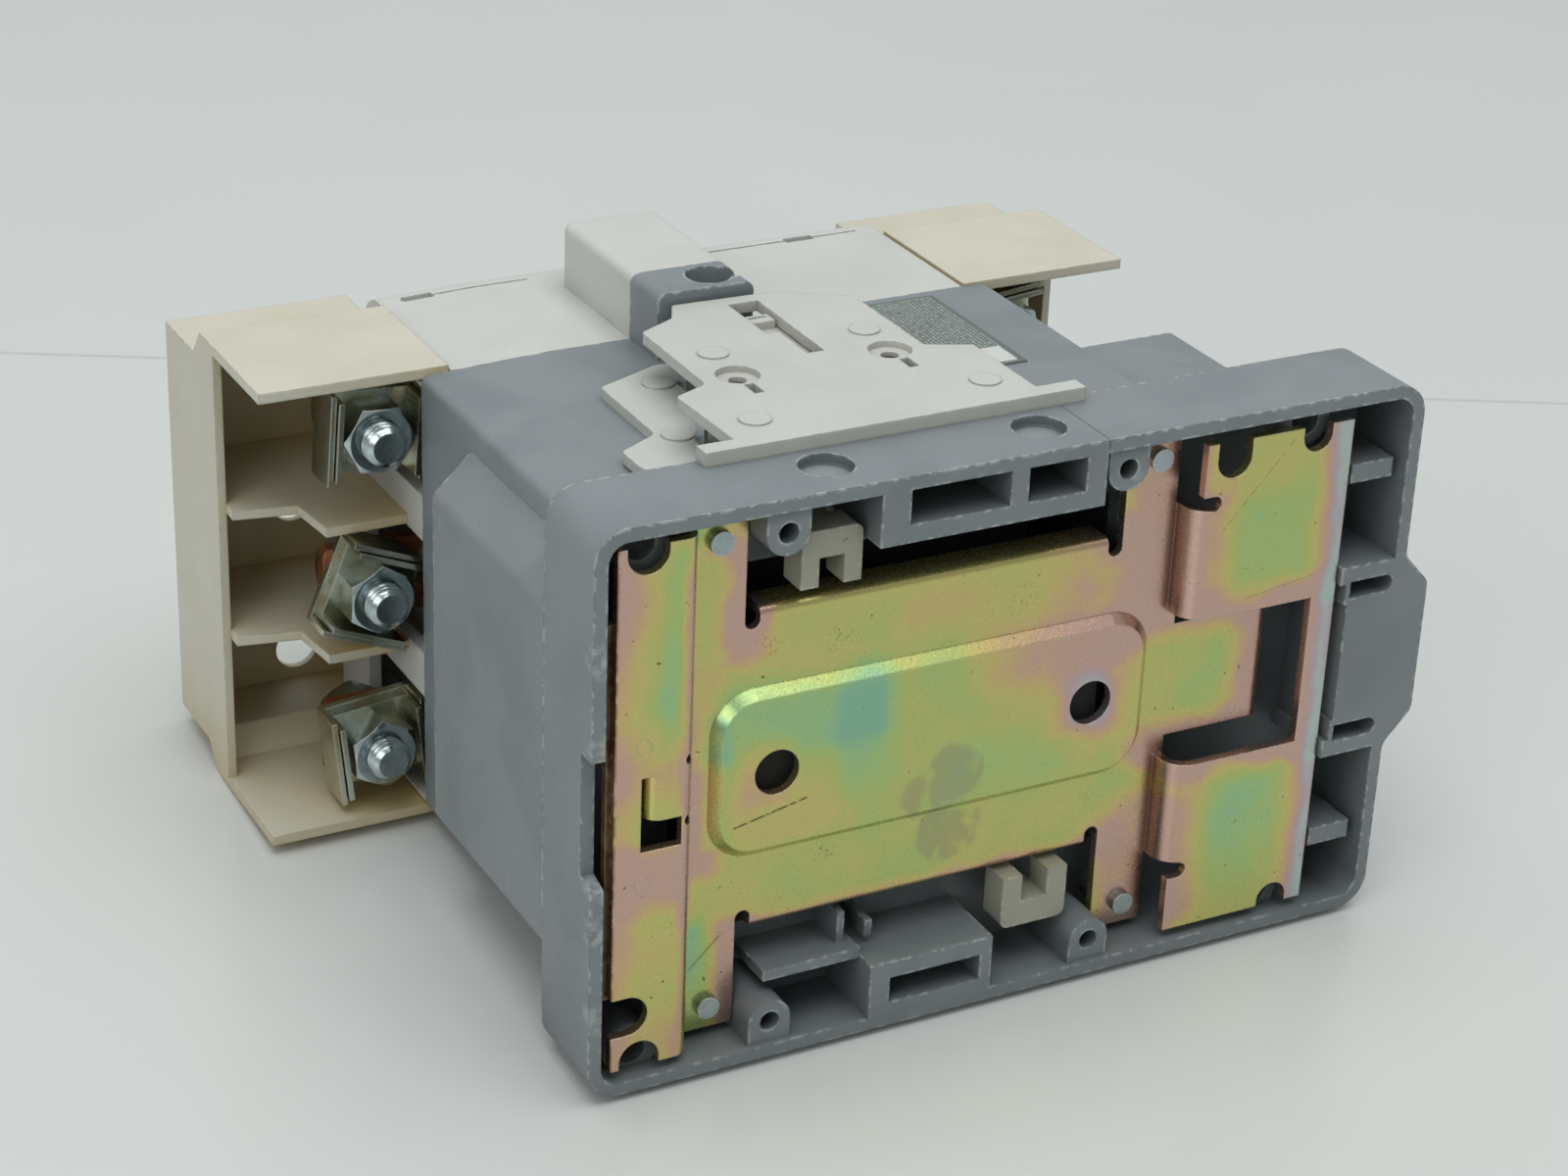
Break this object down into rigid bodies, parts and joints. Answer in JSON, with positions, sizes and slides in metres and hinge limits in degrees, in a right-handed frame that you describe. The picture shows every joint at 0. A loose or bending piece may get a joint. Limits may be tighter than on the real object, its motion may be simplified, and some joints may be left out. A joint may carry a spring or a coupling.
{
  "type": "magnetic contactor",
  "caption": "Multi-pole magnetic contactor on a moulded base, lying on its side, with a pressed mounting plate, auxiliary contacts, shrouded bolt terminals and a spring-return magnet.",
  "frame": {"origin": "centre of the four fixing holes, in the plane of the rear rim of the base", "axes": "+X along the base from the line end to the load end, +Y from the rear rim towards the front of the contactor, +Z across the poles, up as the part lies on its side"},
  "size_m": [0.1875, 0.1395, 0.1095],
  "materials": {
    "grey_moulding": "satin",
    "white_moulding": "satin",
    "cream_moulding": "satin",
    "black_moulding": "satin",
    "beige_moulding": "matte",
    "passivated_steel": "yellow passivated",
    "zinc_steel": "bright zinc",
    "core_steel": "laminated",
    "spring_steel": "bright",
    "copper": "bare copper",
    "contact_silver": "silver alloy",
    "cushion_rubber": "matte",
    "label_film": "satin"
  },
  "bodies": {
    "frame": {"rear_base": "grey_moulding", "mounting_plate": "passivated_steel", "plate_pins": "zinc_steel", "backing_strip": "passivated_steel", "strip_rivets": "passivated_steel", "core_clip_upper": "beige_moulding", "core_clip_lower": "beige_moulding", "main_housing": "grey_moulding", "front_cover": "white_moulding", "cover_screws": "zinc_steel", "coil_terminal_screws": "zinc_steel", "hump_screw": "zinc_steel", "label_plate": "label_film", "aux_base": "white_moulding", "aux_cover": "white_moulding", "aux_blades": "zinc_steel", "line_shroud": "cream_moulding", "load_shroud": "cream_moulding", "line_bar_1": "copper", "line_bar_2": "copper", "line_bar_3": "copper", "load_bar_1": "copper", "load_bar_2": "copper", "load_bar_3": "copper", "fixed_contact_tips": "contact_silver", "terminal_bolts": "zinc_steel", "terminal_nuts": "zinc_steel", "clamp_washers": "zinc_steel", "saddle_washers": "zinc_steel", "head_washers": "zinc_steel", "core_cushion": "cushion_rubber", "fixed_core": "core_steel", "shading_rings": "copper", "coil_bobbin": "black_moulding", "coil_winding": "copper", "return_spring_upper": "spring_steel", "return_spring_lower": "spring_steel", "arc_splitters": "core_steel"},
    "carrier": {"contact_carrier": "black_moulding", "armature": "core_steel", "armature_pin": "zinc_steel", "contact_spring_1": "spring_steel", "contact_spring_2": "spring_steel", "contact_spring_3": "spring_steel"},
    "aux_slide": {"aux_slider": "white_moulding"},
    "bridge_1": {"contact_bridge_1": "copper"},
    "bridge_2": {"contact_bridge_2": "copper"},
    "bridge_3": {"contact_bridge_3": "copper"}
  },
  "joints": [
    {"name": "carrier_slide", "type": "slide", "parent": "frame", "child": "carrier", "axis": [0, 1, 0], "range_m": [-0.0067, 0], "stiffness_N_per_m": 2500, "springref_m": 0.01, "deforming": ["return_spring_upper", "return_spring_lower"]},
    {"name": "bridge_1_slide", "type": "slide", "parent": "carrier", "child": "bridge_1", "axis": [0, 1, 0], "range_m": [0, 0.0017], "deforming": ["contact_spring_1"]},
    {"name": "bridge_2_slide", "type": "slide", "parent": "carrier", "child": "bridge_2", "axis": [0, 1, 0], "range_m": [0, 0.0017], "deforming": ["contact_spring_2"]},
    {"name": "bridge_3_slide", "type": "slide", "parent": "carrier", "child": "bridge_3", "axis": [0, 1, 0], "range_m": [0, 0.0017], "deforming": ["contact_spring_3"]},
    {"name": "aux_slide_slide", "type": "slide", "parent": "frame", "child": "aux_slide", "axis": [0, 1, 0], "range_m": [-0.0067, 0]}
  ],
  "couplings": [
    {"joint": "bridge_1_slide", "follows": "carrier_slide", "ratio": -0.25373},
    {"joint": "bridge_2_slide", "follows": "carrier_slide", "ratio": -0.25373},
    {"joint": "bridge_3_slide", "follows": "carrier_slide", "ratio": -0.25373},
    {"joint": "aux_slide_slide", "follows": "carrier_slide", "ratio": 1}
  ]
}
